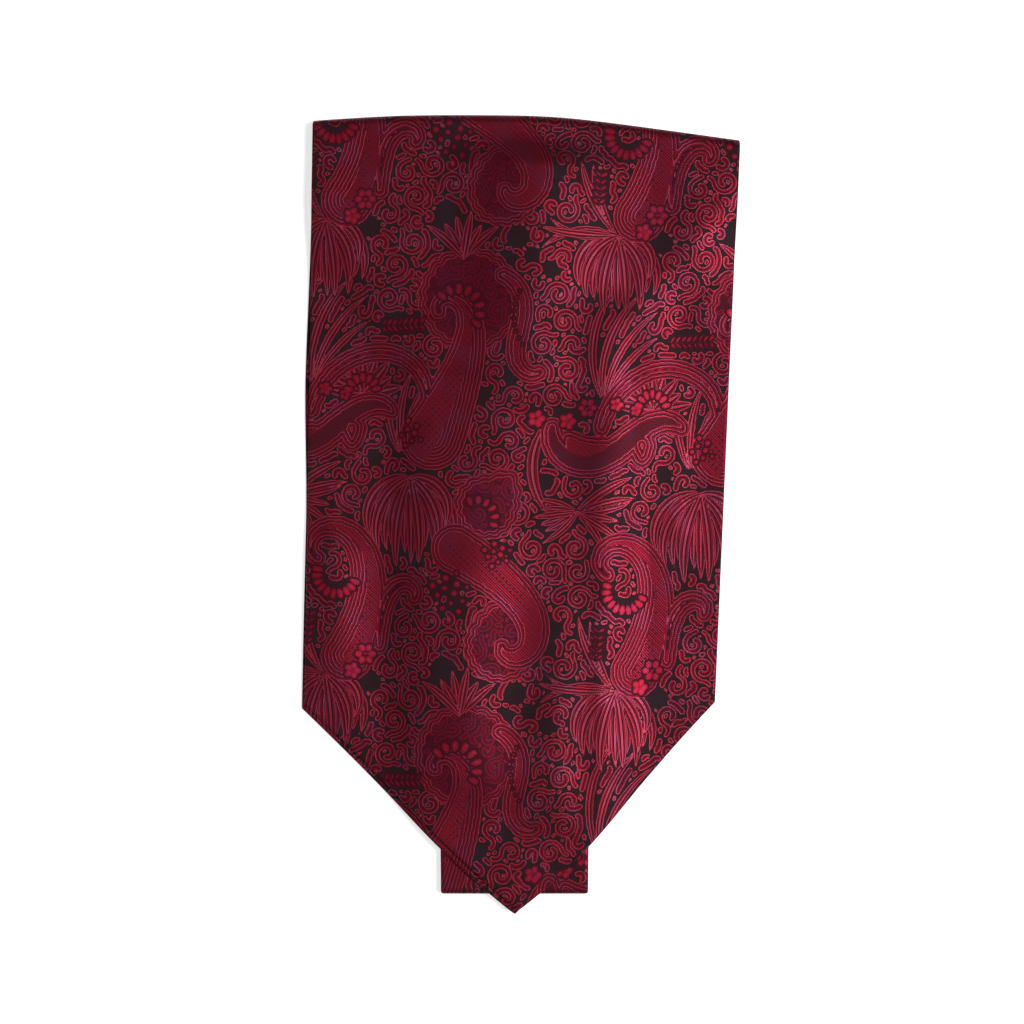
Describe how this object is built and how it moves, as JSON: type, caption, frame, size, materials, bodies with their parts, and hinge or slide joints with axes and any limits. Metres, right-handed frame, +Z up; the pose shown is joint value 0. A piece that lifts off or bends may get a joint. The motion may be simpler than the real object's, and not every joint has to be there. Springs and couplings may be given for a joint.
{
  "type": "folded silk cravat",
  "caption": "Self-tie cravat of figured paisley silk, folded and laid flat: wide pointed blades one over the other, with the fold of a narrow pleated neckband showing below.",
  "frame": {"origin": "middle of the bounding box, on the surface that the cravat lies on", "axes": "+Y runs up the blades from their points to the top fold, +X to the right as seen from above, +Z up from the surface"},
  "size_m": [0.168, 0.3064, 0.0102],
  "materials": {
    "front_silk": "figured silk, crimson on black",
    "back_silk": "figured silk, crimson on black",
    "band_silk": "figured silk, crimson on black",
    "pleat_silk": "figured silk, crimson on black"
  },
  "bodies": {
    "root": {"front_blade": "front_silk", "back_blade": "back_silk", "neckband": "band_silk", "pleat_stack": "pleat_silk"}
  },
  "joints": []
}
